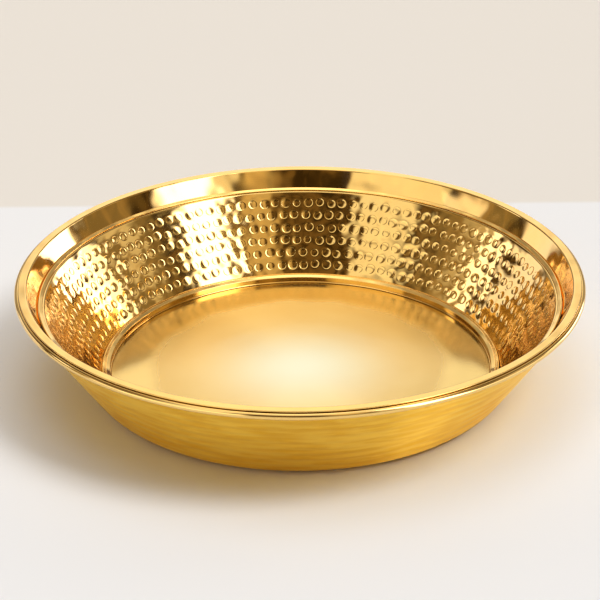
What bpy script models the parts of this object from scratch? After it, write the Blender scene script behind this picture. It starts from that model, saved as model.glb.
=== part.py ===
"""Round double-walled kneading plate in brass sheet, standing on its base with the axis along +Z.

An outer shell carries everything. A floor plate lies on its base, a hammered wall stands on that
plate and reaches the shell with a shelf at its top, and a polished rim band stands on the shelf.
The shell's edge is rolled over a core wire, and the band's flange lies on that roll. Two rings
cover the joints at the foot and at the shoulder of the hammered wall.
"""

import math

import bpy

# Driving dimensions, in metres
RIM_DIAMETER = 0.400
HEIGHT = 0.0745
BASE_DIAMETER = 0.280
HEEL_RADIUS = 0.015

# Sheet thicknesses
SHELL_SHEET = 0.0010
LINER_SHEET = 0.0010
FLOOR_SHEET = 0.0012

# Rolled edge and its core wire
WIRE_DIAMETER = 0.0020
ROLL_SWEEP = math.radians(270)

# Rim band: flat flange with the polished collar below it
FLANGE_SETBACK = 0.0028
FLANGE_WIDTH = 0.0059
FLANGE_BEND = 0.0016

# Shoulder: the shelf at the top of the hammered wall and the ring on it
SHOULDER_DEPTH = 0.0141
SHELF_WIDTH = 0.0070
SHELF_BEND = 0.0015
LIP_WIDTH = 0.0010
SHOULDER_RING_WIDTH = 0.0029
SHOULDER_RING_HEIGHT = 0.0018

# Foot of the hammered wall and the ring in its corner
FOOT_INSET = 0.0009
FLOOR_RING_FOOT = 0.0028
FLOOR_RING_HEIGHT = 0.0051
RING_EDGE_RADIUS = 0.0007

# Clearance between pieces that seat on each other
SEAT_GAP = 0.0003

# Facets of every turned piece, and of the arcs in its outline
TURN_STEPS = 72
HEEL_STEPS = 5
ROLL_STEPS = 12
BEND_STEPS = 3
EDGE_STEPS = 2
WIRE_STEPS = 8

# Places that follow from the driving dimensions
RIM_RADIUS = RIM_DIAMETER / 2
BASE_RADIUS = BASE_DIAMETER / 2
WIRE_RADIUS = WIRE_DIAMETER / 2
ROLL_RADIUS = WIRE_RADIUS + SEAT_GAP + SHELL_SHEET
ROLL_R = RIM_RADIUS - ROLL_RADIUS
ROLL_Z = HEIGHT - LINER_SHEET - SEAT_GAP - ROLL_RADIUS
PLATE_Z = SHELL_SHEET + SEAT_GAP
FLOOR_Z = PLATE_Z + FLOOR_SHEET
FOOT_Z = FLOOR_Z + SEAT_GAP
FOOT_R = BASE_RADIUS - FOOT_INSET
SHELF_Z = HEIGHT - SHOULDER_DEPTH
COLLAR_Z = SHELF_Z + SEAT_GAP

# Colour, roughness and metallic value of each finish
POLISHED_BRASS = ((0.83, 0.58, 0.22), 0.12, 1.0)
HAMMERED_BRASS = ((0.80, 0.54, 0.19), 0.18, 1.0)
SPUN_BRASS = ((0.80, 0.57, 0.24), 0.32, 1.0)
SATIN_BRASS = ((0.74, 0.48, 0.15), 0.38, 1.0)
DRAWN_STEEL = ((0.55, 0.55, 0.56), 0.40, 1.0)


def arc(centre, radius, start, sweep, steps):
    """Points along an arc in the (r, z) plane; a negative sweep runs clockwise."""
    points = []
    for step in range(steps + 1):
        angle = start + sweep * step / steps
        points.append((centre[0] + radius * math.cos(angle), centre[1] + radius * math.sin(angle)))
    return points


def heading(start, end):
    """Angle of the line from start to end."""
    return math.atan2(end[1] - start[1], end[0] - start[0])


def rounded(before, corner, after, radius, steps):
    """The arc that rounds a corner, in the order of travel."""
    arriving = heading(before, corner)
    turn = math.remainder(heading(corner, after) - arriving, math.tau)
    side = math.copysign(1, turn)
    back = radius * math.tan(abs(turn) / 2)
    start = (corner[0] - back * math.cos(arriving), corner[1] - back * math.sin(arriving))
    outward = arriving - side * math.pi / 2
    centre = (start[0] - radius * math.cos(outward), start[1] - radius * math.sin(outward))
    return arc(centre, radius, outward, turn, steps)


def bent_sheet(face, thickness, level_foot):
    """Closed outline of a bent sheet: along its inner face, then back along the face behind it.

    With level_foot the first end is cut level, so that it stands flat; otherwise it is cut square.
    """
    directions = [heading(start, end) for start, end in zip(face, face[1:])]
    arriving = [directions[0], *directions]
    leaving = [*directions, directions[-1]]
    behind = []
    for point, one, other in zip(face, arriving, leaving):
        normal = (one + other) / 2 - math.pi / 2
        reach = thickness / math.cos((other - one) / 2)
        behind.append((point[0] + reach * math.cos(normal), point[1] + reach * math.sin(normal)))
    if level_foot:
        behind[0] = (face[0][0] + thickness / math.sin(directions[0]), face[0][1])
    return [*face, *reversed(behind)]


def shell_slope():
    """Angle of the shell's wall: the common tangent of its heel and its rolled edge."""
    heel_to_roll = (ROLL_R - BASE_RADIUS, ROLL_Z - HEEL_RADIUS)
    offset = HEEL_RADIUS - SHELL_SHEET + ROLL_RADIUS
    return math.atan2(heel_to_roll[1], heel_to_roll[0]) + math.asin(offset / math.hypot(*heel_to_roll))


def shell_face_radius(z):
    """Radius of the shell's inner face at a height on its straight wall."""
    slope = shell_slope()
    tangent = arc((ROLL_R, ROLL_Z), ROLL_RADIUS, slope + math.pi / 2, 0, 1)[0]
    return tangent[0] - (tangent[1] - z) / math.tan(slope)


def lip_corner():
    """Corner where the hammered wall's inner face would meet the top of its shelf."""
    return (shelf_edge_radius() - SHELF_WIDTH, SHELF_Z)


def shelf_edge_radius():
    """Outer radius of the shelf, clear of the shell's wall at the shelf's underside."""
    return shell_face_radius(SHELF_Z - LINER_SHEET) - SEAT_GAP / math.sin(shell_slope())


def collar_foot_radius():
    """Inner radius of the collar where it stands on the shelf, just outside the shoulder ring."""
    return lip_corner()[0] + LIP_WIDTH + SHOULDER_RING_WIDTH + SEAT_GAP


def outer_shell_outline():
    """Base, heel and wall of the shell, and its edge rolled outwards over the wire."""
    slope = shell_slope()
    heel = arc((BASE_RADIUS, HEEL_RADIUS), HEEL_RADIUS - SHELL_SHEET, -math.pi / 2, slope, HEEL_STEPS)
    roll = arc((ROLL_R, ROLL_Z), ROLL_RADIUS, slope + math.pi / 2, -ROLL_SWEEP, ROLL_STEPS)
    return bent_sheet([(0, SHELL_SHEET), *heel, *roll], SHELL_SHEET, level_foot=False)


def rim_wire_outline():
    """Round wire inside the rolled edge."""
    turn = -math.tau * (WIRE_STEPS - 1) / WIRE_STEPS
    return arc((ROLL_R, ROLL_Z), WIRE_RADIUS, 0, turn, WIRE_STEPS - 1)


def floor_plate_outline():
    """Flat disc on the shell's base, as wide as the flat of that base."""
    return [(0, FLOOR_Z), (BASE_RADIUS, FLOOR_Z), (BASE_RADIUS, PLATE_Z), (0, PLATE_Z)]


def hammered_wall_outline():
    """Sloping wall that stands on the floor plate, turned out into a shelf at its top."""
    foot = (FOOT_R, FOOT_Z)
    edge = (shelf_edge_radius(), SHELF_Z)
    bend = rounded(foot, lip_corner(), edge, SHELF_BEND, BEND_STEPS)
    return bent_sheet([foot, *bend, edge], LINER_SHEET, level_foot=True)


def rim_band_outline():
    """Collar that stands on the shelf, turned out at its top into the flange over the roll."""
    foot = (collar_foot_radius(), COLLAR_Z)
    edge = (RIM_RADIUS - FLANGE_SETBACK, HEIGHT)
    corner = (edge[0] - FLANGE_WIDTH, HEIGHT)
    bend = rounded(foot, corner, edge, FLANGE_BEND, BEND_STEPS)
    return bent_sheet([foot, *bend, edge], LINER_SHEET, level_foot=True)


def ring_outline(foot_in, foot_out, top_in, top_out):
    """Flat-topped ring with its two upper edges rounded."""
    inner_edge = rounded(foot_in, top_in, top_out, RING_EDGE_RADIUS, EDGE_STEPS)
    outer_edge = rounded(top_in, top_out, foot_out, RING_EDGE_RADIUS, EDGE_STEPS)
    return [foot_in, *inner_edge, *outer_edge, foot_out]


def shoulder_ring_outline():
    """Ring on the shelf, in the corner between the lip and the collar."""
    inner = lip_corner()[0] + LIP_WIDTH
    outer = inner + SHOULDER_RING_WIDTH
    top = COLLAR_Z + SHOULDER_RING_HEIGHT
    return ring_outline((inner, COLLAR_Z), (outer, COLLAR_Z), (inner, top), (outer, top))


def floor_ring_outline():
    """Ring on the floor plate whose outer side leans along the hammered wall."""
    slope = heading((FOOT_R, FOOT_Z), lip_corner())
    foot_out = FOOT_R - SEAT_GAP / math.sin(slope)
    inner = foot_out - FLOOR_RING_FOOT
    top = FOOT_Z + FLOOR_RING_HEIGHT
    top_out = foot_out + FLOOR_RING_HEIGHT / math.tan(slope)
    return ring_outline((inner, FOOT_Z), (foot_out, FOOT_Z), (inner, top), (top_out, top))


def make_material(name, finish):
    """Principled material with a colour, a roughness and a metallic value."""
    colour, roughness, metallic = finish
    material = bpy.data.materials.new(name)
    material.use_nodes = True
    shader = material.node_tree.nodes["Principled BSDF"]
    shader.inputs["Base Color"].default_value = (*colour, 1)
    shader.inputs["Roughness"].default_value = roughness
    shader.inputs["Metallic"].default_value = metallic
    return material


def make_turned(name, outline, seat, finish, collection, parent):
    """Object turned from an outline about +Z; outlines that end on the axis stay open there."""
    count = len(outline)
    edges = [(point, point + 1) for point in range(count - 1)]
    if outline[0][0] > 0:
        edges.append((count - 1, 0))
    mesh = bpy.data.meshes.new(name)
    mesh.from_pydata([(r, 0, z - seat) for r, z in outline], edges, [])
    mesh.materials.append(make_material(name, finish))
    piece = bpy.data.objects.new(name, mesh)
    piece.location.z = seat
    piece.parent = parent
    collection.objects.link(piece)
    screw = piece.modifiers.new("turn", "SCREW")
    screw.axis = "Z"
    screw.angle = math.tau
    screw.steps = TURN_STEPS
    screw.render_steps = TURN_STEPS
    screw.use_merge_vertices = True
    screw.merge_threshold = 0.00001
    screw.use_smooth_shade = True


def main():
    for leftover in list(bpy.data.objects):
        bpy.data.objects.remove(leftover, do_unlink=True)
    collection = bpy.data.collections.new("kneading_plate")
    bpy.context.scene.collection.children.link(collection)
    axis = bpy.data.objects.new("kneading_plate_axis", None)
    collection.objects.link(axis)

    pieces = (
        ("outer_shell", outer_shell_outline(), 0, SATIN_BRASS),
        ("floor_plate", floor_plate_outline(), PLATE_Z, SPUN_BRASS),
        ("hammered_wall", hammered_wall_outline(), FOOT_Z, HAMMERED_BRASS),
        ("floor_ring", floor_ring_outline(), FOOT_Z, POLISHED_BRASS),
        ("shoulder_ring", shoulder_ring_outline(), COLLAR_Z, POLISHED_BRASS),
        ("rim_band", rim_band_outline(), COLLAR_Z, POLISHED_BRASS),
        ("rim_wire", rim_wire_outline(), ROLL_Z, DRAWN_STEEL),
    )
    for name, outline, seat, finish in pieces:
        make_turned(name, outline, seat, finish, collection, axis)


if __name__ == "__main__":
    main()
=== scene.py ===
"""Looks of a round double-walled brass kneading plate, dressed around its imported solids.

Each solid is stood for by a finer turned piece of the same size. The hammer dents of the inner
wall and the spinning marks of the floor and the outer wall are real shapes, made by Geometry
Nodes. The colour and grain of each finish come from shader nodes. Sizes are in metres, +Z is up.
"""

import logging
import math
from collections.abc import Sequence
from dataclasses import dataclass
from enum import Enum

import bpy
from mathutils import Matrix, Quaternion, Vector


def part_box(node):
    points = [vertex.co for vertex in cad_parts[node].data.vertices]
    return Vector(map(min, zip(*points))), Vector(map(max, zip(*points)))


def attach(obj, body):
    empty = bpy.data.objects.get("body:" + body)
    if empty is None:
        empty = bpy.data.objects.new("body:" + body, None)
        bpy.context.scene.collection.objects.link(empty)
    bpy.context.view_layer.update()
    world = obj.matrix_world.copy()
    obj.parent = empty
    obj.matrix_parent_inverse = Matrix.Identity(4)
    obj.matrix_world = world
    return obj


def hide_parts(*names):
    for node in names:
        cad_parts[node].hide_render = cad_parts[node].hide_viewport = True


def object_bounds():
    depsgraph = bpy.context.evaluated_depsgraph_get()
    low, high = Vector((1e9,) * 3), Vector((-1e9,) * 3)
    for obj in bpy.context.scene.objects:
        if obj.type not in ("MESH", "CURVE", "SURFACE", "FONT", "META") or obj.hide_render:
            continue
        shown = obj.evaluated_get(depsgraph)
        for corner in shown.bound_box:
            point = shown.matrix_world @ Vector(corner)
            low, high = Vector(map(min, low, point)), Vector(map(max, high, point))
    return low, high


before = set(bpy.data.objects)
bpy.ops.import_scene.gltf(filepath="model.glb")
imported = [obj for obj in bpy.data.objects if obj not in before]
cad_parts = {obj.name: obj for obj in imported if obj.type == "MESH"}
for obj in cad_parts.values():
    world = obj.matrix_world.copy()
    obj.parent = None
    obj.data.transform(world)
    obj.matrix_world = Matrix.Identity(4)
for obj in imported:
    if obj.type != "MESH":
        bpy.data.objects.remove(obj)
CAD_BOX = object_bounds()

LOG = logging.getLogger("kneading_plate")
BODY = "root"

Point = tuple[float, float]
Colour = tuple[float, float, float]

# Attributes that a turned mesh hands to the Geometry Nodes trees
WORKED = "worked"
ALONG = "along"

# Attribute that the dents leave for their finish: distance from the dent's middle, in radii
DENT_SHARE = "dent_share"

# Edges that meet at more than this angle stay sharp
SHARP_ANGLE = math.radians(50)

# Distance from a rounded corner at which a face is held flat, and the shortest run that is held
GUARD = 0.0003
GUARDED_RUN = 3 * GUARD

# Length over which worked marks fade in from the end of their run
FADE = 0.004

# Clearance between pieces that seat on each other
SEAT_GAP = 0.0003

# Middle of a noise, and the limits between which it makes patches of three kinds
NOISE_MIDDLE = 0.5
MOTTLE_LIMITS = (0.35, 0.75)
STREAK_LIMITS = (0.35, 0.65)
MARK_LIMITS = (0.3, 0.7)

# Roughness of the lacquer over the metal
LACQUER_ROUGHNESS = 0.05

# Part of a turn that draws a highlight out across the turning marks
GRAIN_TURN = 0.25


class Value:
    """A node socket that takes part in Python arithmetic, where each operation adds a Math node."""

    def __init__(self, graph: "Graph", socket: bpy.types.NodeSocket) -> None:
        """Keep the socket and the graph that it belongs to."""
        self.graph = graph
        self.socket = socket

    def math(self, operation: str, *others: "Value | float") -> "Value":
        """Add a Math node with this value and the others as its operands."""
        operands = dict(enumerate((self, *others)))
        return self.graph.node("ShaderNodeMath", {"operation": operation}, operands)

    def reflected(self, operation: str, other: float) -> "Value":
        """Add a Math node whose first operand is a plain number."""
        return self.graph.node("ShaderNodeMath", {"operation": operation}, {0: other, 1: self})

    def __add__(self, other: "Value | float") -> "Value":
        """Sum."""
        return self.math("ADD", other)

    __radd__ = __add__

    def __sub__(self, other: "Value | float") -> "Value":
        """Difference."""
        return self.math("SUBTRACT", other)

    def __rsub__(self, other: float) -> "Value":
        """Difference from a number on the left."""
        return self.reflected("SUBTRACT", other)

    def __mul__(self, other: "Value | float") -> "Value":
        """Product."""
        return self.math("MULTIPLY", other)

    __rmul__ = __mul__

    def __truediv__(self, other: "Value | float") -> "Value":
        """Quotient."""
        return self.math("DIVIDE", other)

    def __rtruediv__(self, other: float) -> "Value":
        """Quotient of a number on the left."""
        return self.reflected("DIVIDE", other)

    def __pow__(self, other: "Value | float") -> "Value":
        """Power."""
        return self.math("POWER", other)


class Detail(Enum):
    """Fine structure of a noise, in octaves beyond the first."""

    SMOOTH = 1.0
    SOFT = 2.0
    FINE = 3.0
    CRISP = 4.0


class Graph:
    """A node tree under construction, for a material, the world or a shape."""

    def __init__(self, tree: bpy.types.NodeTree) -> None:
        """Start from an empty tree."""
        self.tree = tree
        tree.nodes.clear()

    def node(
        self,
        kind: str,
        settings: dict[str, object] | None = None,
        inputs: dict[str | int, object] | None = None,
        output: str | int | None = 0,
    ) -> Value | None:
        """Add a node.

        Args:
            kind: Blender's name of the node type.
            settings: Properties of the node, which are set first.
            inputs: The value or link of each socket, by its name or number.
            output: The output that is wanted, or None for a node that has none.

        Returns:
            That output, ready for arithmetic.
        """
        made = self.tree.nodes.new(kind)
        for name, setting in (settings or {}).items():
            setattr(made, name, setting)
        for key, value in (inputs or {}).items():
            if isinstance(value, Value):
                self.tree.links.new(value.socket, made.inputs[key])
            else:
                made.inputs[key].default_value = value
        return None if output is None else Value(self, made.outputs[output])

    def vector(self, x: Value | float, y: Value | float, z: Value | float) -> Value:
        """Join three values into a vector."""
        return self.node("ShaderNodeCombineXYZ", None, {"X": x, "Y": y, "Z": z})

    def split(self, vector: Value) -> tuple[Value, Value, Value]:
        """Take a vector apart into its three values."""
        x = self.node("ShaderNodeSeparateXYZ", None, {"Vector": vector})
        return tuple(Value(self, output) for output in x.socket.node.outputs)

    def noise(self, vector: Value, scale: Value | float, detail: Detail) -> Value:
        """Noise from 0 to 1 over a vector."""
        inputs = {"Vector": vector, "Scale": scale, "Detail": detail.value}
        return self.node("ShaderNodeTexNoise", {"noise_dimensions": "3D"}, inputs)

    def ramp(self, value: Value, low: float, high: float) -> Value:
        """A value's smooth step from 0 at low to 1 at high."""
        inputs = {"Value": value, "From Min": low, "From Max": high}
        return self.node("ShaderNodeMapRange", {"interpolation_type": "SMOOTHSTEP"}, inputs)

    def blend(self, factor: Value, start: Colour | Value, end: Colour | Value) -> Value:
        """A colour between two others.

        Args:
            factor: 0 for the first colour, 1 for the second.
            start: The first colour.
            end: The second colour.

        Returns:
            The mixed colour.
        """
        ends = [colour if isinstance(colour, Value) else (*colour, 1) for colour in (start, end)]
        return self.node("ShaderNodeMix", {"data_type": "RGBA"}, {0: factor, 6: ends[0], 7: ends[1]}, 2)

    def scaled(self, vector: Colour | Value, factor: Value) -> Value:
        """A colour or vector times a factor."""
        return self.node("ShaderNodeVectorMath", {"operation": "SCALE"}, {0: vector, "Scale": factor})

    def summed(self, first: Value, second: Value) -> Value:
        """Sum of two colours or vectors."""
        return self.node("ShaderNodeVectorMath", {"operation": "ADD"}, {0: first, 1: second})


class Across(Enum):
    """The measure that the turning marks of a finish are counted along."""

    RADIUS = "radius"
    HEIGHT = "height"


@dataclass(frozen=True)
class MetalFinish:
    """A worked metal surface, with the marks that turning and handling leave on it, and, in the floor's
    finish, a painted highlight in the middle and a painted reflection in the outer ring.
    """

    name: str
    colour: Colour
    tarnish: Colour
    roughness: float
    mottle_size: float
    mottle_share: float
    mark_pitch: float
    mark_depth: float = 0.00001
    mark_haze: float = 0.08
    across: Across = Across.HEIGHT
    lacquer: float = 0.2
    anisotropy: float = 0.0
    mark_reach: float = 0.05
    smear_size: float = 0.035
    smear_haze: float = 0.03
    wave_size: float = 0.030
    wave_height: float = 0.0
    streak_pitch: float = 0.004
    streak_reach: float = 0.03
    streak_share: float = 0.0
    # Polished part past bright_from along the measure, with its own colour and roughness; on the floor
    # that colour is darker, a painted reflection of the walls
    bright_from: float | None = None
    bright_blend: float = 0.003
    bright_waver: float = 0.0
    polish_and_reflection_colour: Colour = (0.93, 0.63, 0.21)
    bright_roughness: float = 0.06
    lip_height: float = 0.0
    lip_start: float = 0.79
    # Radius of the middle that has no brushed grain and is painted paler as a highlight, and the colour
    # of that painted highlight
    buffed_and_highlight_radius: float | None = None
    painted_highlight_colour: Colour = (0.84, 0.86, 0.68)

    def material(self) -> bpy.types.Material:
        """Build the finish.

        Returns:
            A node material whose colour, roughness and normal vary over the surface.
        """
        material = bpy.data.materials.new(self.name)
        material.use_nodes = True
        MetalNodes(self, material.node_tree).draw()
        return material


class MetalNodes:
    """Node tree of one metal finish."""

    def __init__(self, finish: MetalFinish, tree: bpy.types.NodeTree) -> None:
        """Start the tree with the measures and noises that its steps share.

        Args:
            finish: The finish to draw.
            tree: Node tree of the finish's material.
        """
        self.finish = finish
        self.graph = Graph(tree)
        self.place = self.graph.node("ShaderNodeTexCoord", output="Object")
        self.x, self.y, height = self.graph.split(self.place)
        self.radius = (self.x * self.x + self.y * self.y) ** 0.5
        self.across = self.radius if finish.across is Across.RADIUS else height
        self.marks = self.rings(finish.mark_pitch, finish.mark_reach, Detail.FINE)
        self.smear = self.patches(finish.smear_size, Detail.FINE)

    def patches(self, size: float, detail: Detail) -> Value:
        """Noise in patches of one size."""
        return self.graph.noise(self.place, 1 / size, detail)

    def rings(self, pitch: float, reach: float, detail: Detail) -> Value:
        """Noise in rings round the axis, a pitch apart, which change over the length of a reach."""
        around = self.graph.vector(self.across / pitch, self.x / reach, self.y / reach)
        return self.graph.noise(around, 1.0, detail)

    def attribute(self, name: str) -> Value:
        """A number that the mesh carries on its points."""
        return self.graph.node("ShaderNodeAttribute", {"attribute_name": name}, None, "Fac")

    def colour(self) -> Value:
        """Colour with mottle and streaks."""
        finish, graph = self.finish, self.graph
        mottle = graph.ramp(self.patches(finish.mottle_size, Detail.CRISP), *MOTTLE_LIMITS)
        rings = self.rings(finish.streak_pitch, finish.streak_reach, Detail.SOFT)
        streak = graph.ramp(rings, *STREAK_LIMITS)
        worn = (mottle * finish.mottle_share + streak * finish.streak_share).math("MINIMUM", 1.0)
        return graph.blend(worn, finish.colour, finish.tarnish)

    def roughness(self) -> Value:
        """Roughness, which turning marks and smears make uneven."""
        finish = self.finish
        marked = finish.roughness + finish.mark_haze * (self.marks - NOISE_MIDDLE)
        return marked + finish.smear_haze * (self.smear - NOISE_MIDDLE)

    def bright(self) -> Value:
        """1 on the polished part of the surface and 0 on the rest, with a soft, wavering border; on the
        floor the darker colour of that part is a painted reflection.
        """
        finish = self.finish
        border = self.across + (self.smear - NOISE_MIDDLE) * finish.bright_waver
        half = finish.bright_blend / 2
        return self.graph.ramp(border, finish.bright_from - half, finish.bright_from + half)

    def relief(self) -> Value:
        """Height of the turning marks, the waves and the lips of the dents."""
        finish = self.finish
        wave = self.patches(finish.wave_size, Detail.SMOOTH)
        relief = self.marks * finish.mark_depth + wave * finish.wave_height
        if finish.lip_height:
            lip = self.graph.ramp(self.attribute(DENT_SHARE), finish.lip_start, 1.0)
            relief = relief + lip * self.attribute(WORKED) * finish.lip_height
        return relief

    def draw(self) -> None:
        """Draw the shader, with a middle that has no brushed grain and a pale painted highlight, where
        the finish has one.
        """
        finish, graph = self.finish, self.graph
        colour, roughness = self.colour(), self.roughness()
        # The polished part takes its own roughness and colour; on the floor the darker colour is a
        # painted reflection of the walls
        if finish.bright_from is not None:
            bright = self.bright()
            roughness = roughness + bright * (finish.bright_roughness - roughness)
            colour = graph.blend(bright, colour, finish.polish_and_reflection_colour)
        bump = {"Strength": 1.0, "Distance": 1.0, "Height": self.relief()}
        shader = {
            "Roughness": roughness,
            "Normal": graph.node("ShaderNodeBump", None, bump),
            "Metallic": 1.0,
            "Coat Weight": finish.lacquer,
            "Coat Roughness": LACQUER_ROUGHNESS,
        }
        grain = {"Anisotropic": finish.anisotropy, "Anisotropic Rotation": GRAIN_TURN}
        inputs = {**shader, **grain, "Base Color": colour}
        surface = graph.node("ShaderNodeBsdfPrincipled", None, inputs)
        # Middle without the brushed grain, whose pale colour is a painted highlight that fades out
        # towards the radius
        if finish.buffed_and_highlight_radius is not None:
            outside = graph.ramp(self.radius, 0.0, finish.buffed_and_highlight_radius)
            colour = graph.blend(outside, finish.painted_highlight_colour, colour)
            buffed_and_highlight = graph.node("ShaderNodeBsdfPrincipled", None, {**shader, "Base Color": colour})
            surface = graph.node("ShaderNodeMixShader", None, {0: outside, 1: buffed_and_highlight, 2: surface})
        graph.node("ShaderNodeOutputMaterial", None, {"Surface": surface}, None)


POLISHED_BRASS = MetalFinish(
    name="polished_brass",
    colour=(0.92, 0.60, 0.18),
    tarnish=(0.84, 0.50, 0.12),
    roughness=0.07,
    mottle_size=0.030,
    mottle_share=0.35,
    mark_pitch=0.0004,
    mark_depth=0.000004,
    mark_haze=0.04,
    wave_height=0.0014,
)
HAMMERED_BRASS = MetalFinish(
    name="hammered_brass",
    colour=(0.92, 0.61, 0.19),
    tarnish=(0.82, 0.49, 0.12),
    roughness=0.075,
    mottle_size=0.012,
    mottle_share=0.40,
    mark_pitch=0.0005,
    mark_depth=0.000004,
    mark_haze=0.05,
    wave_size=0.020,
    wave_height=0.0003,
    lip_height=0.00008,
)
SPUN_BRASS = MetalFinish(
    name="spun_brass",
    colour=(0.87, 0.63, 0.23),
    tarnish=(0.82, 0.55, 0.16),
    roughness=0.30,
    mottle_size=0.045,
    mottle_share=0.45,
    mark_pitch=0.0005,
    across=Across.RADIUS,
    lacquer=0.12,
    anisotropy=0.85,
    # Outer ring of the floor: glossier, and painted darker as a reflection of the walls
    bright_from=0.106,
    bright_blend=0.014,
    bright_waver=0.016,
    polish_and_reflection_colour=(0.80, 0.57, 0.19),
    bright_roughness=0.15,
    # Middle of the floor without the brushed grain, painted paler as a highlight
    buffed_and_highlight_radius=0.120,
)
SATIN_BRASS = MetalFinish(
    name="satin_brass",
    colour=(1.0, 0.66, 0.09),
    tarnish=(0.84, 0.45, 0.02),
    roughness=0.37,
    mottle_size=0.025,
    mottle_share=0.25,
    streak_share=0.55,
    mark_pitch=0.0006,
    anisotropy=0.96,
    bright_from=0.0665,
    lacquer=0.05,
)
DRAWN_STEEL = MetalFinish(
    name="drawn_steel",
    colour=(0.55, 0.55, 0.56),
    tarnish=(0.38, 0.36, 0.34),
    roughness=0.38,
    mottle_size=0.008,
    mottle_share=0.50,
    mark_pitch=0.0003,
    mark_haze=0.10,
)


def heading(start: Point, end: Point) -> float:
    """Direction from one point of a section to another, in radians from the outward one."""
    return math.atan2(end[1] - start[1], end[0] - start[0])


@dataclass(frozen=True)
class Bow:
    """An arc of a turned section, drawn about a centre; a negative sweep runs clockwise."""

    centre: Point
    radius: float
    start: float
    sweep: float
    steps: int
    parts: int = 1
    worked: bool = False

    def points(self) -> list[Point]:
        """Points along the arc, in the order of travel."""
        turns = [self.start + self.sweep * step / self.steps for step in range(self.steps + 1)]
        r, z = self.centre
        return [(r + self.radius * math.cos(a), z + self.radius * math.sin(a)) for a in turns]

    def drawn(self, before: Point, after: Point) -> list[Point]:
        """Points of the arc, whatever its neighbours are."""
        return self.points()

    def ends(self) -> tuple[Point, Point]:
        """The points where the outline enters and leaves the arc."""
        points = self.points()
        return points[0], points[-1]


@dataclass(frozen=True)
class Corner:
    """A corner of a turned section, rounded by a radius.

    The straight run to the next item has so many parts, and worked marks it for a shape tree.
    """

    r: float
    z: float
    radius: float = 0.0
    steps: int = 4
    parts: int = 1
    worked: bool = False

    @property
    def point(self) -> Point:
        """Where the corner is."""
        return self.r, self.z

    def drawn(self, before: Point, after: Point) -> list[Point]:
        """Round the corner.

        Args:
            before: The point that the outline comes from.
            after: The point that it goes to.

        Returns:
            The corner itself, or the points of its arc.
        """
        if not self.radius:
            return [self.point]
        arriving, leaving = heading(before, self.point), heading(self.point, after)
        turn = math.remainder(leaving - arriving, math.tau)
        back = self.radius * math.tan(abs(turn) / 2)
        outward = arriving - math.copysign(math.pi / 2, turn)
        centre = (
            self.r - back * math.cos(arriving) - self.radius * math.cos(outward),
            self.z - back * math.sin(arriving) - self.radius * math.sin(outward),
        )
        return Bow(centre, self.radius, outward, turn, self.steps).points()

    def ends(self) -> tuple[Point, Point]:
        """The corner itself, as the point to aim at from either side."""
        return self.point, self.point


class Section:
    """Outline of a turned piece, counter-clockwise in the (r, z) plane.

    An outline whose first and last corners lie on the axis stays open there.
    """

    def __init__(self, items: Sequence[Corner | Bow]) -> None:
        """Draw the corners, arcs and runs in order.

        Args:
            items: The corners and arcs, once round the outline.
        """
        self.points: list[Point] = []
        self.worked: list[float] = []
        self.closed = items[0].ends()[0][0] > 0
        ends = [item.ends() for item in items]
        around = zip(items, ends[-1:] + ends[:-1], ends[1:] + ends[:1])
        drawn = [item.drawn(before[1], after[0]) for item, before, after in around]
        for item, here, there in zip(items, drawn, drawn[1:] + drawn[:1]):
            self.add(here, 0.0)
            if self.closed or item is not items[-1]:
                self.run(here[-1], there[0], item)
        if self.area() < 0:
            self.points.reverse()
            self.worked.reverse()
        self.along = self.lengths()

    def add(self, points: Sequence[Point], weight: float) -> None:
        """Take in points that share one weight."""
        self.points.extend(points)
        self.worked.extend([weight] * len(points))

    def run(self, start: Point, end: Point, item: Corner | Bow) -> None:
        """Divide the straight run that follows an item.

        Args:
            start: Where the run starts.
            end: Where it ends.
            item: The item before it, which says how many parts it has.
        """
        length = math.dist(start, end)
        if item.parts > 1:
            places = [length * part / item.parts for part in range(1, item.parts)]
        else:
            places = [GUARD, length - GUARD] if length > GUARDED_RUN else []
        for place in places:
            share = place / length
            point = tuple(a + (b - a) * share for a, b in zip(start, end))
            weight = min(1.0, place / FADE, (length - place) / FADE) if item.worked else 0.0
            self.add([point], weight)

    def area(self) -> float:
        """Signed area, which is positive for a counter-clockwise outline."""
        pairs = zip(self.points, self.points[1:] + self.points[:1])
        return sum(a[0] * b[1] - b[0] * a[1] for a, b in pairs) / 2

    def lengths(self) -> list[float]:
        """Distance along the outline to each of its points."""
        total = [0.0]
        for start, end in zip(self.points, self.points[1:]):
            total.append(total[-1] + math.dist(start, end))
        return total

    def turned(self, name: str, steps: int) -> bpy.types.Mesh:
        """Turn the outline about +Z.

        Args:
            name: Name of the mesh.
            steps: Number of facets round the axis.

        Returns:
            A closed mesh whose faces point outwards, with its weights and lengths as attributes.
        """
        angles = [math.tau * step / steps for step in range(steps)]
        circle = [(math.cos(angle), math.sin(angle)) for angle in angles]
        vertices, rings, worked, along = [], [], [], []
        for (r, z), weight, length in zip(self.points, self.worked, self.along):
            first = len(vertices)
            spots = circle if r > 0 else [(0.0, 0.0)]
            vertices.extend((r * c, r * s, z) for c, s in spots)
            rings.append([first + step % len(spots) for step in range(steps + 1)])
            worked.extend([weight] * len(spots))
            along.extend([length] * len(spots))
        if self.closed:
            rings.append(rings[0])
        faces = []
        for near, far in zip(rings, rings[1:]):
            for step in range(steps):
                corners = (near[step], near[step + 1], far[step + 1], far[step])
                faces.append(tuple(dict.fromkeys(corners)))
        mesh = bpy.data.meshes.new(name)
        mesh.from_pydata(vertices, [], faces)
        for label, values in ((WORKED, worked), (ALONG, along)):
            mesh.attributes.new(label, "FLOAT", "POINT").data.foreach_set("value", values)
        mesh.shade_smooth()
        mesh.set_sharp_from_angle(angle=SHARP_ANGLE)
        return mesh


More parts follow.
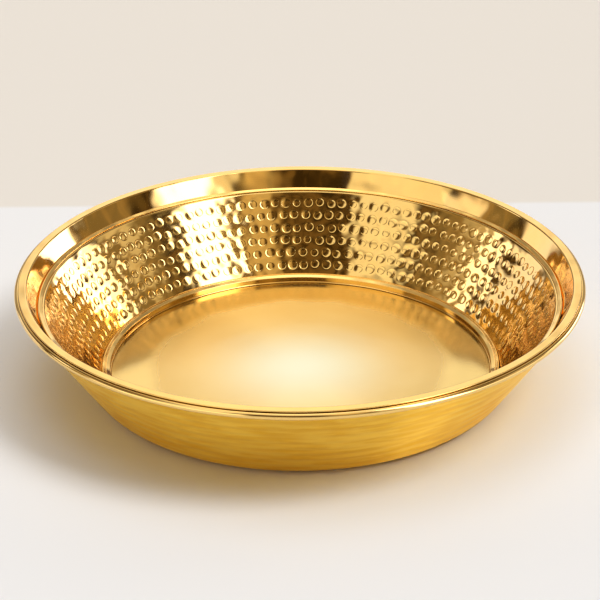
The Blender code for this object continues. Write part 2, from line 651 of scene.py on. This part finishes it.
def bent_sheet(foot: Corner, bend: Corner, edge: Corner, sheet: float) -> Section:
    """Section of a sheet that slopes outwards from its foot and is turned flat at its top.

    Args:
        foot: Foot of the near face.
        bend: Corner of the near face.
        edge: End of the near face.
        sheet: Thickness of the sheet.

    Returns:
        The outline round both faces.
    """
    slope, flat = heading(foot.point, bend.point), heading(bend.point, edge.point)
    normal = (slope + flat) / 2 - math.pi / 2
    reach = sheet / math.cos((flat - slope) / 2)
    under = (bend.r + reach * math.cos(normal), bend.z + reach * math.sin(normal))
    return Section([
        foot,
        bend,
        edge,
        Corner(edge.r, edge.z - sheet, edge.radius, edge.steps),
        Corner(*under, bend.radius - sheet, (bend.steps + 1) // 2),
        Corner(foot.r + sheet / math.sin(slope), foot.z),
    ])


class ShapeTree:
    """A Geometry Nodes tree with named sizes, worked into a piece and then made plain mesh."""

    SOCKETS = {float: "NodeSocketFloat", int: "NodeSocketInt", bpy.types.Material: "NodeSocketMaterial"}

    def __init__(self, name: str, sizes: dict[str, object]) -> None:
        """Make the tree's inputs and draw its nodes.

        Args:
            name: Name of the tree.
            sizes: Value of each named input.
        """
        self.tree = bpy.data.node_groups.new(name, "GeometryNodeTree")
        self.sizes = sizes
        face = self.tree.interface
        for side in ("INPUT", "OUTPUT"):
            face.new_socket("Geometry", in_out=side, socket_type="NodeSocketGeometry")
        self.identifiers = {}
        for label, value in sizes.items():
            kind = self.SOCKETS[type(value)]
            self.identifiers[label] = face.new_socket(label, in_out="INPUT", socket_type=kind).identifier
        self.graph = Graph(self.tree)
        geometry = self.graph.node("NodeGroupInput")
        outputs = geometry.socket.node.outputs
        self.size = {label: Value(self.graph, outputs[label]) for label in sizes}
        self.end(self.shaped(geometry))

    def shaped(self, geometry: Value) -> Value:
        """Draw the nodes that shape the geometry, and return the result."""
        raise NotImplementedError

    def moved(self, geometry: Value, lift: Value) -> Value:
        """Move every point along its normal, outwards where the lift is positive."""
        offset = self.graph.scaled(self.graph.node("GeometryNodeInputNormal"), lift)
        return self.graph.node("GeometryNodeSetPosition", None, {"Geometry": geometry, "Offset": offset})

    def attribute(self, name: str) -> Value:
        """A number that the turned mesh carries on its points."""
        return self.graph.node("GeometryNodeInputNamedAttribute", {"data_type": "FLOAT"}, {"Name": name})

    def end(self, geometry: Value) -> None:
        """Realize instances, set the finish and hand the geometry out."""
        realized = self.graph.node("GeometryNodeRealizeInstances", None, {"Geometry": geometry})
        inputs = {"Geometry": realized, "Material": self.size["Finish"]}
        dressed = self.graph.node("GeometryNodeSetMaterial", None, inputs)
        self.graph.node("NodeGroupOutput", None, {"Geometry": dressed}, None)

    def work(self, piece: bpy.types.Object) -> None:
        """Run the tree on a piece and leave its result as the piece's plain mesh."""
        modifier = piece.modifiers.new(self.tree.name, "NODES")
        modifier.node_group = self.tree
        for label, identifier in self.identifiers.items():
            modifier[identifier] = self.sizes[label]
        evaluated = piece.evaluated_get(bpy.context.evaluated_depsgraph_get())
        mesh = bpy.data.meshes.new_from_object(evaluated)
        piece.modifiers.remove(modifier)
        piece.data = mesh


class HammerDents(ShapeTree):
    """Round dents in level rows, each a little out of line and of its own size."""

    CIRCLE_POINTS = 180

    # Step of the seed for each draw
    START_DRAW = 0
    WANDER_DRAW = 1
    WEIGHT_DRAW = 2

    # Distance from a dent's middle, in radii, past which it is not told apart
    SHARE_LIMIT = 2.0

    def rows(self) -> Value:
        """Curves that the dents lie along: one circle for each row, started at a random angle."""
        g, size = self.graph, self.size
        top, bottom = size["Top Row Height"], size["Bottom Row Height"]
        ends = {"Start Location": g.vector(0, 0, top), "Offset": g.vector(0, 0, bottom)}
        spine = g.node("GeometryNodeMeshLine", {"mode": "END_POINTS"}, {"Count": size["Rows"], **ends})
        height = g.split(g.node("GeometryNodeInputPosition"))[2]
        drop = (top - height) / (top - bottom)
        reach = size["Top Row Radius"] + drop * (size["Bottom Row Radius"] - size["Top Row Radius"])
        angle = self.random("FLOAT", 0.0, math.tau, self.START_DRAW)
        turn = g.node("FunctionNodeEulerToRotation", None, {"Euler": g.vector(0, 0, angle)})
        inputs = {"Resolution": self.CIRCLE_POINTS, "Radius": 1.0}
        circle = g.node("GeometryNodeCurvePrimitiveCircle", {"mode": "RADIUS"}, inputs)
        scale = g.vector(reach, reach, 1.0)
        inputs = {"Points": spine, "Instance": circle, "Rotation": turn, "Scale": scale}
        placed = g.node("GeometryNodeInstanceOnPoints", None, inputs)
        return g.node("GeometryNodeRealizeInstances", None, {"Geometry": placed})

    def random(self, kind: str, low: Value | float, high: Value | float, draw: int) -> Value:
        """A random value, of a type that Blender names, between two limits."""
        limits = {"Min": low, "Max": high, "Seed": self.size["Seed"] + draw}
        return self.graph.node("FunctionNodeRandomValue", {"data_type": kind}, limits, "Value")

    def blows(self) -> Value:
        """Points that the hammer hits, spaced along the rows and each moved a little."""
        inputs = {"Curve": self.rows(), "Length": self.size["Pitch"]}
        lined = self.graph.node("GeometryNodeCurveToPoints", {"mode": "LENGTH"}, inputs)
        wander = self.size["Wander"]
        offset = self.random("FLOAT_VECTOR", -1 * wander, wander, self.WANDER_DRAW)
        return self.graph.node("GeometryNodeSetPosition", None, {"Geometry": lined, "Offset": offset})

    def read(self, kind: str, points: Value, value: Value, index: Value) -> Value:
        """Read a value, of a type that Blender names, from the point with a number."""
        inputs = {"Geometry": points, "Value": value, "Index": index}
        return self.graph.node("GeometryNodeSampleIndex", {"data_type": kind, "domain": "POINT"}, inputs)

    def shaped(self, geometry: Value) -> Value:
        """Press the dents into the worked face.

        Args:
            geometry: The smooth wall.

        Returns:
            The dented wall.
        """
        g, size = self.graph, self.size
        blows = self.blows()
        nearest = g.node("GeometryNodeSampleNearest", {"domain": "POINT"}, {"Geometry": blows})
        place = g.node("GeometryNodeInputPosition")
        centre = self.read("FLOAT_VECTOR", blows, place, nearest)
        uneven = size["Unevenness"]
        weight = self.random("FLOAT", 1 - uneven, 1 + uneven, self.WEIGHT_DRAW)
        blow = self.read("FLOAT", blows, weight, nearest)
        away = g.node("ShaderNodeVectorMath", {"operation": "DISTANCE"}, {0: place, 1: centre}, "Value")
        share = (away / (size["Dent Radius"] * blow)).math("MINIMUM", self.SHARE_LIMIT)
        settings = {"data_type": "FLOAT", "domain": "POINT"}
        inputs = {"Geometry": geometry, "Name": DENT_SHARE, "Value": share}
        geometry = g.node("GeometryNodeStoreNamedAttribute", settings, inputs)
        bowl = (1 - share ** size["Bowl Power"]).math("MAXIMUM", 0.0)
        waves = g.noise(place, 1 / size["Buckle Size"], Detail.SMOOTH)
        buckle = (waves - NOISE_MIDDLE) * size["Buckle Height"]
        lift = (buckle - bowl * blow * size["Dent Depth"]) * self.attribute(WORKED)
        return self.moved(geometry, lift)


class SpinningMarks(ShapeTree):
    """Low rings left by the spinning tool, which waver and come and go round the piece."""

    def shaped(self, geometry: Value) -> Value:
        """Raise the rings on the worked face.

        Args:
            geometry: The smooth piece.

        Returns:
            The marked piece.
        """
        g, size = self.graph, self.size
        place = g.node("GeometryNodeInputPosition")
        drift = g.noise(place, 1 / size["Drift Size"], Detail.SMOOTH) - NOISE_MIDDLE
        strength = g.ramp(g.noise(place, 1 / size["Patch Size"], Detail.SOFT), *MARK_LIMITS)
        turns = self.attribute(ALONG) / size["Pitch"] + drift * size["Waver"]
        wave = (turns * math.tau).math("SINE")
        return self.moved(geometry, wave * strength * size["Height"] * self.attribute(WORKED))


@dataclass(frozen=True)
class Spinning:
    """Sizes of the rings that the spinning tool leaves on one face."""

    pitch: float
    height: float
    waver: float
    drift: float
    patch: float

    def tree(self, name: str, material: bpy.types.Material) -> SpinningMarks:
        """Make the tree that raises the rings and sets the finish."""
        sizes = {
            "Pitch": self.pitch,
            "Height": self.height,
            "Waver": self.waver,
            "Drift Size": self.drift,
            "Patch Size": self.patch,
            "Finish": material,
        }
        return SpinningMarks(name, sizes)


@dataclass(frozen=True)
class Reach:
    """Outer radius, foot and top of a turned solid, read from the frame."""

    radius: float
    foot: float
    top: float

    @classmethod
    def of(cls, node: str) -> "Reach":
        """Read the box of a node."""
        low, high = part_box(node)
        return cls(high.x, low.z, high.z)

    def wire(self) -> tuple[Point, float]:
        """Centre and radius of the section of a round wire."""
        radius = (self.top - self.foot) / 2
        return (self.radius - radius, self.foot + radius), radius


@dataclass
class TurnedPiece:
    """A turned piece of the plate, which stands for one solid of the frame."""

    name: str
    node: str
    finish: MetalFinish
    steps: int = 360

    def section(self) -> Section:
        """Draw the outline that is turned."""
        raise NotImplementedError

    def tree(self, material: bpy.types.Material) -> ShapeTree | None:
        """The shape tree that works the turned mesh, where there is one."""
        return None

    def build(self) -> bpy.types.Object:
        """Turn the piece, dress it and set it in the frame.

        Returns:
            The finished piece, riding on the plate's body.
        """
        material = self.finish.material()
        piece = bpy.data.objects.new(self.name, self.section().turned(self.name, self.steps))
        bpy.context.scene.collection.objects.link(piece)
        tree = self.tree(material)
        if tree is None:
            piece.data.materials.append(material)
        else:
            tree.work(piece)
        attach(piece, BODY)
        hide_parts(self.node)
        return piece


@dataclass
class OuterShell(TurnedPiece):
    """Outside pan: flat base, rounded heel, sloping wall and an edge rolled over the core wire."""

    name: str = "spun_outer_shell"
    node: str = "outer_shell"
    finish: MetalFinish = SATIN_BRASS
    sheet: float = 0.0010
    heel_radius: float = 0.015
    heel_steps: int = 14
    roll_sweep: float = math.radians(270)
    roll_steps: int = 30
    wall_parts: int = 72
    marks: Spinning = Spinning(pitch=0.0088, height=0.00022, waver=0.6, drift=0.06, patch=0.035)

    def section(self) -> Section:
        """Base, heel, wall and rolled edge."""
        centre = Reach.of("rim_wire").wire()[0]
        outer = Reach.of(self.node).top - centre[1]
        heel = (Reach.of("floor_plate").radius, self.heel_radius)
        inside = self.heel_radius - self.sheet
        slope = heading(heel, centre) + math.asin((inside + outer) / math.dist(heel, centre))
        start = slope + math.pi / 2
        inner_heel = Bow(heel, inside, -math.pi / 2, slope, self.heel_steps)
        outer_heel = Bow(heel, self.heel_radius, slope - math.pi / 2, -slope, self.heel_steps)
        sweep, steps = self.roll_sweep, self.roll_steps
        roll = Bow(centre, outer, start, -sweep, steps)
        curl = Bow(centre, outer - self.sheet, start - sweep, sweep, steps, self.wall_parts, worked=True)
        return Section([Corner(0, self.sheet), inner_heel, roll, curl, outer_heel, Corner(0, 0)])

    def tree(self, material: bpy.types.Material) -> ShapeTree:
        """Faint rings on the outside of the wall."""
        return self.marks.tree("wall_spinning_marks", material)


@dataclass
class RimWire(TurnedPiece):
    """Core wire inside the rolled edge."""

    name: str = "core_wire"
    node: str = "rim_wire"
    finish: MetalFinish = DRAWN_STEEL
    wire_steps: int = 14

    def section(self) -> Section:
        """A round wire."""
        centre, radius = Reach.of(self.node).wire()
        parts = self.wire_steps - 1
        return Section([Bow(centre, radius, 0, math.tau * parts / self.wire_steps, parts)])


@dataclass
class FloorPlate(TurnedPiece):
    """Satin floor disc."""

    name: str = "spun_floor"
    node: str = "floor_plate"
    finish: MetalFinish = SPUN_BRASS
    edge_radius: float = 0.0003
    rings: int = 70
    marks: Spinning = Spinning(pitch=0.021, height=0.00004, waver=0.8, drift=0.09, patch=0.08)

    def section(self) -> Section:
        """A flat disc with its edges eased."""
        plate = Reach.of(self.node)
        return Section([
            Corner(0, plate.foot),
            Corner(plate.radius, plate.foot, self.edge_radius, steps=3),
            Corner(plate.radius, plate.top, self.edge_radius, steps=3, parts=self.rings, worked=True),
            Corner(0, plate.top),
        ])

    def tree(self, material: bpy.types.Material) -> ShapeTree:
        """Very low rings over the floor."""
        return self.marks.tree("floor_spinning_marks", material)


@dataclass
class HammeredWall(TurnedPiece):
    """Hammered inner wall, turned out into a shelf at its top."""

    name: str = "dented_wall"
    node: str = "hammered_wall"
    finish: MetalFinish = HAMMERED_BRASS
    steps: int = 940
    sheet: float = 0.0010
    foot_inset: float = 0.0009
    shelf_width: float = 0.0070
    shelf_bend: float = 0.0015
    edge_radius: float = 0.0002
    face_parts: int = 80
    rows: int = 6
    top_row_depth: float = 0.0090
    row_spacing: float = 0.0098
    dent_pitch: float = 0.0088
    dent_radius: float = 0.0034
    dent_depth: float = 0.00024
    bowl_power: float = 3.0
    wander: float = 0.0007
    unevenness: float = 0.12
    buckle_size: float = 0.014
    buckle_height: float = 0.0009
    seed: int = 7

    def foot(self) -> Point:
        """Foot of the hammered face, on the floor plate."""
        return Reach.of("floor_plate").radius - self.foot_inset, Reach.of(self.node).foot

    def lip(self) -> Point:
        """Corner where the hammered face would meet the shelf."""
        wall = Reach.of(self.node)
        return wall.radius - self.shelf_width, wall.top

    def section(self) -> Section:
        """Foot, hammered face, lip and shelf, and the plain face behind them."""
        wall = Reach.of(self.node)
        return bent_sheet(
            Corner(*self.foot(), parts=self.face_parts, worked=True),
            Corner(*self.lip(), self.shelf_bend, steps=5),
            Corner(wall.radius, wall.top, self.edge_radius, steps=2),
            self.sheet,
        )

    def tree(self, material: bpy.types.Material) -> ShapeTree:
        """Rows of hammer dents, counted down the face from the lip."""
        foot, lip = self.foot(), self.lip()
        length = math.dist(foot, lip)
        down = ((foot[0] - lip[0]) / length, (foot[1] - lip[1]) / length)
        last = self.top_row_depth + self.row_spacing * (self.rows - 1)
        sizes = {
            "Rows": self.rows,
            "Top Row Radius": lip[0] + down[0] * self.top_row_depth,
            "Top Row Height": lip[1] + down[1] * self.top_row_depth,
            "Bottom Row Radius": lip[0] + down[0] * last,
            "Bottom Row Height": lip[1] + down[1] * last,
            "Pitch": self.dent_pitch,
            "Dent Radius": self.dent_radius,
            "Dent Depth": self.dent_depth,
            "Bowl Power": self.bowl_power,
            "Wander": self.wander,
            "Unevenness": self.unevenness,
            "Buckle Size": self.buckle_size,
            "Buckle Height": self.buckle_height,
            "Seed": self.seed,
            "Finish": material,
        }
        return HammerDents("hammer_dents", sizes)


@dataclass
class FloorRing(TurnedPiece):
    """Ring in the corner between the floor and the hammered wall, with a groove in its top."""

    name: str = "floor_bead"
    node: str = "floor_ring"
    finish: MetalFinish = POLISHED_BRASS
    foot_width: float = 0.0028
    flat_width: float = 0.0032
    groove_width: float = 0.0009
    groove_depth: float = 0.0005
    bevel_drop: float = 0.0009
    bead_radius: float = 0.0008
    edge_radius: float = 0.0005
    groove_radius: float = 0.0002

    def section(self) -> Section:
        """Upright inner face, grooved top and an outer face that leans along the wall."""
        ring = Reach.of(self.node)
        wall = HammeredWall()
        foot, lip = wall.foot(), wall.lip()
        slope = heading(foot, lip)
        foot_out = foot[0] - SEAT_GAP / math.sin(slope)
        inner = foot_out - self.foot_width
        outer = foot_out + (ring.top - ring.foot) / math.tan(slope)
        near, low = inner + self.flat_width, ring.top - self.groove_depth
        far = near + self.groove_width
        groove = ((far, ring.top), (far, low), (near, low), (near, ring.top))
        return Section([
            Bow((inner, ring.foot), self.bead_radius, math.pi / 2, math.pi / 2, steps=6),
            Corner(foot_out, ring.foot),
            Corner(outer, ring.top, self.edge_radius),
            *(Corner(*point, self.groove_radius, steps=3) for point in groove),
            Corner(inner, ring.top - self.bevel_drop, self.edge_radius, steps=6),
        ])


@dataclass
class ShoulderRing(TurnedPiece):
    """Flat ring on the shelf, between the hammered wall's lip and the collar."""

    name: str = "shoulder_bead"
    node: str = "shoulder_ring"
    finish: MetalFinish = POLISHED_BRASS
    width: float = 0.0029
    bevel_drop: float = 0.0011
    edge_radius: float = 0.0004

    def section(self) -> Section:
        """A low ring whose top slopes a little inwards."""
        ring = Reach.of(self.node)
        inner = ring.radius - self.width
        return Section([
            Corner(inner, ring.foot),
            Corner(ring.radius, ring.foot),
            Corner(ring.radius, ring.top, self.edge_radius),
            Corner(inner, ring.top - self.bevel_drop, self.edge_radius),
        ])


@dataclass
class RimBand(TurnedPiece):
    """Polished collar and the flat flange that lies on the rolled edge."""

    name: str = "polished_rim_band"
    node: str = "rim_band"
    finish: MetalFinish = POLISHED_BRASS
    sheet: float = 0.0010
    flange_width: float = 0.0059
    flange_bend: float = 0.0016
    edge_radius: float = 0.0003

    def section(self) -> Section:
        """Collar, bend and flange."""
        band = Reach.of(self.node)
        return bent_sheet(
            Corner(Reach.of("shoulder_ring").radius + SEAT_GAP, band.foot),
            Corner(band.radius - self.flange_width, band.top, self.flange_bend, steps=8),
            Corner(band.radius, band.top, self.edge_radius, steps=3),
            self.sheet,
        )


# Tint of the parts of the room that are not lit
WARM = (1.0, 0.80, 0.48)

# Tint of the windows
DAYLIGHT = (1.0, 1.0, 1.2)


class Outlook:
    """The direction in which the room is looked at, taken apart for its panels."""

    def __init__(self, graph: Graph) -> None:
        """Add the nodes that all panels read.

        Args:
            graph: The world's node tree.
        """
        self.way = graph.node("ShaderNodeTexCoord", output="Generated")
        self.x, self.y, height = graph.split(self.way)
        self.level = (self.x * self.x + self.y * self.y) ** 0.5
        self.rise = height.math("ARCSINE")
        self.glossy = graph.node("ShaderNodeLightPath", output="Is Glossy Ray")
        self.camera = graph.node("ShaderNodeLightPath", output="Is Camera Ray")


@dataclass(frozen=True)
class Panel:
    """A soft-edged bright patch of the room, which lights the plate and is mirrored in it.

    Angles are in degrees, and the azimuth is counted from the camera's side towards the right.
    Mirrored is the level that metal shows, and cast the level that lights dull surfaces.
    """

    azimuth: float
    elevation: float
    half_width: float
    half_height: float
    edge: float
    mirrored: float
    cast: float
    tint: Colour = (1.0, 0.97, 0.92)

    def light(self, graph: Graph, look: Outlook) -> Value:
        """Add the panel to the world.

        Args:
            graph: The world's node tree.
            look: The direction that is looked in.

        Returns:
            The panel's light as a colour, which is black outside the panel.
        """
        across = math.radians(self.azimuth)
        ahead = look.x * math.sin(across) - look.y * math.cos(across)
        turn = (ahead / look.level).math("ARCCOSINE")
        lift = (look.rise - math.radians(self.elevation)).math("ABSOLUTE")
        share = self.inside(graph, turn, self.half_width) * self.inside(graph, lift, self.half_height)
        level = self.cast + look.glossy * (self.mirrored - self.cast)
        return graph.scaled(self.tint, share * level)

    def inside(self, graph: Graph, angle: Value, half: float) -> Value:
        """1 within half an extent, falling to 0 across the soft edge."""
        soft = self.edge / 2
        return graph.ramp(angle, math.radians(half + soft), math.radians(half - soft))


@dataclass(frozen=True)
class Studio:
    """Camera, pale floor and the room that lights the plate."""

    view_elevation: float = 26.242
    view_distance: float = 1.5
    view_roll: float = -0.495
    aim_depth: float = 0.0202
    lens: float = 127.2
    sensor: float = 36.0
    floor_size: float = 8.0
    table_edge: float = 0.292
    edge_blend: float = 0.008
    table_colour: Colour = (0.775, 0.80, 0.85)
    beyond_colour: Colour = (0.725, 0.705, 0.68)
    pale: Colour = (0.80, 0.74, 0.67)
    dim: Colour = (0.10, 0.062, 0.024)
    clutter_scale: float = 9.0
    clutter_limits: tuple[float, float] = (0.40, 0.64)
    clutter_gain: float = 1.4
    clutter_least: float = 0.4
    panels: tuple[Panel, ...] = (
        # Ceiling, and the high light that throws the shadow
        Panel(0, 90, 200, 28, 12, 0.92, 1.7),
        Panel(70, 54, 18, 12, 10, 0.12, 11.5),
        # Low down on the camera's side
        Panel(0, 4, 80, 14, 8, 0.42, 0.03),
        # Right front
        Panel(92, 4, 32, 6, 6, 1.4, 0.4, DAYLIGHT),
        Panel(54, 33, 12, 32, 10, 4.6, 0.2, DAYLIGHT),
        Panel(35, 29, 5, 8, 6, 0.9, 0.0),
        Panel(17, 30, 8, 7, 6, 0.30, 0.0, WARM),
        Panel(23, 50, 9, 16, 12, 0.62, 0.1, WARM),
        # Left front
        Panel(-48.5, 50, 15.5, 14, 10, 1.08, 0.65),
        Panel(-45.5, 15, 24.5, 19, 5, 1.08, 0.65),
        Panel(-78, 14, 9, 10, 5, 1.0, 0.0, DAYLIGHT),
        # Right back
        Panel(115, 19, 6, 4, 4, 2.4, 0.0, DAYLIGHT),
        Panel(129, 8.5, 12, 8, 5, 4.2, 0.0, DAYLIGHT),
        Panel(103, 31.5, 13, 5, 5, 0.50, 0.0),
        Panel(123, 23.5, 9.5, 9, 4, 0.0, 2.0),
        # Left back
        Panel(-106.5, 22.5, 6, 5, 4, 2.0, 0.0, DAYLIGHT),
        Panel(-127, 9.5, 12, 7.5, 5, 1.2, 0.0, DAYLIGHT),
        Panel(-103, 31.5, 13, 5, 5, 0.30, 0.0),
        Panel(-118, 25, 9, 9.5, 5, 0.0, 1.3),
        # Straight behind
        Panel(180, 62, 30, 8, 8, 0.7, 0.0),
        Panel(153.5, 50, 6, 13, 5, 0.45, 0.0),
        Panel(-153.5, 50, 6, 13, 5, 0.45, 0.0),
        Panel(180, 36, 10.5, 30, 10, 1.24, 0.0),
        Panel(180, 36, 14, 30, 10, 0.0, 1.0),
        Panel(156, 30, 13, 34, 8, 0.30, 0.35),
        Panel(-156, 30, 13, 34, 8, 0.30, 0.35),
        # Walls at the sides
        Panel(94, 26, 14, 34, 10, 0.20, 0.10, WARM),
        Panel(-92, 26, 16, 34, 10, 0.20, 0.15, WARM),
    )

    def build(self) -> None:
        """Set up everything around the plate."""
        bpy.context.scene.view_settings.view_transform = "Standard"
        self.place_camera()
        self.lay_floor()
        self.light_world()

    def place_camera(self) -> None:
        """Aim the camera as the photograph was taken."""
        data = bpy.data.cameras.new("camera")
        data.lens = self.lens
        data.sensor_width = self.sensor
        camera = bpy.data.objects.new("camera", data)
        up = math.radians(self.view_elevation)
        back = Vector((0, -math.cos(up), math.sin(up)))
        camera.location = Vector((0, 0, CAD_BOX[1].z - self.aim_depth)) + back * self.view_distance
        camera.rotation_mode = "QUATERNION"
        roll = Quaternion((0, 0, 1), math.radians(self.view_roll))
        camera.rotation_quaternion = back.to_track_quat("Z", "Y") @ roll
        bpy.context.scene.collection.objects.link(camera)
        bpy.context.scene.camera = camera

    def lay_floor(self) -> None:
        """Lay a pale floor that turns a shade darker beyond the table's edge."""
        mesh = bpy.data.meshes.new("floor")
        half = self.floor_size / 2
        corners = [(-half, -half, 0), (half, -half, 0), (half, half, 0), (-half, half, 0)]
        mesh.from_pydata(corners, [], [(0, 1, 2, 3)])
        material = bpy.data.materials.new("pale_floor")
        material.use_nodes = True
        graph = Graph(material.node_tree)
        depth = graph.split(graph.node("ShaderNodeTexCoord", output="Object"))[1]
        soft = self.edge_blend / 2
        beyond = graph.ramp(depth, self.table_edge - soft, self.table_edge + soft)
        colour = graph.blend(beyond, self.table_colour, self.beyond_colour)
        surface = graph.node("ShaderNodeBsdfDiffuse", None, {"Color": colour})
        graph.node("ShaderNodeOutputMaterial", None, {"Surface": surface}, None)
        mesh.materials.append(material)
        floor = bpy.data.objects.new("floor", mesh)
        bpy.context.scene.collection.objects.link(floor)

    def light_world(self) -> None:
        """Dim room with bright panels round the plate; the camera itself sees a pale wall."""
        world = bpy.data.worlds.new("studio")
        bpy.context.scene.world = world
        world.use_nodes = True
        graph = Graph(world.node_tree)
        look = Outlook(graph)
        noise = graph.noise(look.way, self.clutter_scale, Detail.CRISP)
        clutter = graph.ramp(noise, *self.clutter_limits)
        room = graph.scaled(self.dim, clutter * self.clutter_gain + self.clutter_least)
        for panel in self.panels:
            room = graph.summed(room, panel.light(graph, look))
        colour = graph.blend(look.camera, room, self.pale)
        surface = graph.node("ShaderNodeBackground", None, {"Color": colour, "Strength": 1.0})
        graph.node("ShaderNodeOutputWorld", None, {"Surface": surface}, None)


def main() -> None:
    """Build the plate piece by piece, then the studio around it."""
    logging.basicConfig(level=logging.INFO, format="%(name)s: %(message)s")
    for kind in (OuterShell, RimWire, FloorPlate, HammeredWall, FloorRing, ShoulderRing, RimBand):
        piece = kind()
        made = piece.build()
        LOG.info("%s: %d faces, stands for %s", piece.name, len(made.data.polygons), piece.node)
    Studio().build()


if __name__ == "__main__":
    main()
